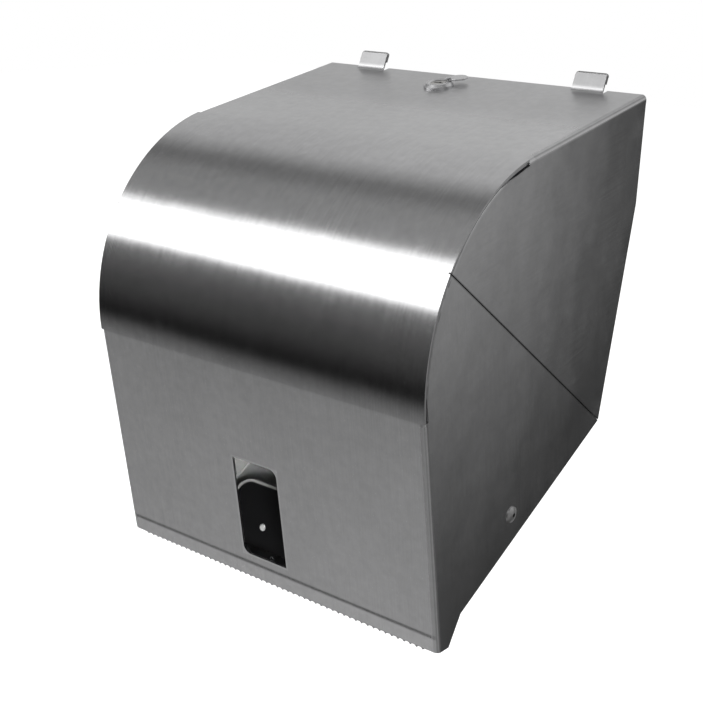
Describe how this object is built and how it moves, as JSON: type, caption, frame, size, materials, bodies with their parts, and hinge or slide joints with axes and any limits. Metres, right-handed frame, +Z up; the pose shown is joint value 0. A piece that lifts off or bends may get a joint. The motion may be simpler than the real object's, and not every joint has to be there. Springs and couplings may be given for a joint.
{
  "type": "roll towel dispenser",
  "caption": "Wall-mounted lockable dispenser for a roll of paper towel: folded steel hood with rolled front, viewing slot and serrated tear edge, tipping forward off a chassis with roll hubs.",
  "frame": {"origin": "centre of the four wall screw holes, on the wall face of the back plate", "axes": "+Y into the wall, so the front faces -Y; +Z up; +X to the right of someone facing the front"},
  "size_m": [0.2436, 0.2112, 0.3],
  "materials": {
    "hood_steel": "satin brushed stainless steel, grain running front to back over the bend",
    "blade_steel": "bright cut stainless steel",
    "chassis_steel": "zinc-plated sheet steel, dull",
    "zinc_plate": "bright zinc plating",
    "rivet_aluminium": "plain aluminium",
    "lock_chrome": "worn nickel-chrome plate",
    "lock_brass": "nickel-plated brass",
    "spring_steel": "oiled spring steel",
    "bush_nylon": "natural nylon",
    "hub_plastic": "moulded black plastic",
    "guide_coat": "pale grey powder coat",
    "guide_plastic": "moulded black plastic, finely textured"
  },
  "bodies": {
    "chassis": {"back_plate": "chassis_steel", "strike": "chassis_steel", "wall_plate_studs": "zinc_plate", "strike_nuts": "zinc_plate", "arm_nuts": "zinc_plate", "guide_nuts": "zinc_plate", "roll_arm_left": "chassis_steel", "arm_bracket": "chassis_steel", "hinge_pin": "zinc_plate", "hinge_clip": "spring_steel", "hub_axle_left": "zinc_plate", "hub_clip_left": "spring_steel", "paper_guide": "guide_coat", "paper_fence": "guide_plastic", "fence_rivets": "rivet_aluminium", "pivot_bush_left": "bush_nylon", "pivot_bush_right": "bush_nylon"},
    "hood": {"hood_shell": "hood_steel", "tear_blade": "blade_steel", "pivot_rivet_left": "rivet_aluminium", "pivot_rivet_right": "rivet_aluminium", "pivot_washer_left": "zinc_plate", "pivot_washer_right": "zinc_plate", "lock_barrel": "lock_chrome", "lock_washer": "zinc_plate", "lock_nut": "lock_brass", "shutter_pin": "lock_chrome"},
    "lock_core": {"lock_plug": "lock_brass", "lock_cam": "zinc_plate", "cam_washer": "zinc_plate", "cam_screw": "zinc_plate"},
    "dust_shutter": {"lock_shutter": "lock_chrome"},
    "sprung_arm": {"roll_arm_right": "chassis_steel", "arm_spring": "spring_steel", "hub_axle_right": "zinc_plate", "hub_clip_right": "spring_steel"},
    "left_hub": {"hub_left": "hub_plastic"},
    "right_hub": {"hub_right": "hub_plastic"}
  },
  "joints": [
    {"name": "hood_tilt", "type": "hinge", "parent": "chassis", "child": "hood", "pos_m": [0, -0.1189, -0.1351], "axis": [1, 0, 0], "range_deg": [0, 150]},
    {"name": "lock_turn", "type": "hinge", "parent": "hood", "child": "lock_core", "pos_m": [-0.009, -0.027, 0.08685], "axis": [0, -0.1908, 0.9816], "range_deg": [0, 90]},
    {"name": "shutter_swing", "type": "hinge", "parent": "hood", "child": "dust_shutter", "pos_m": [-0.0049, -0.0225, 0.09078], "axis": [0, -0.1908, 0.9816], "range_deg": [0, 180]},
    {"name": "arm_swing", "type": "hinge", "parent": "chassis", "child": "sprung_arm", "pos_m": [0.1015, -0.01, -0.036], "axis": [0, 0, 1], "range_deg": [0, 7.5], "stiffness_Nm_per_rad": 2, "springref_deg": -11.46},
    {"name": "left_hub_spin", "type": "hinge", "parent": "chassis", "child": "left_hub", "pos_m": [-0.0875, -0.1005, -0.036], "axis": [1, 0, 0], "continuous": true},
    {"name": "right_hub_spin", "type": "hinge", "parent": "sprung_arm", "child": "right_hub", "pos_m": [0.0875, -0.1005, -0.036], "axis": [1, 0, 0], "continuous": true}
  ]
}
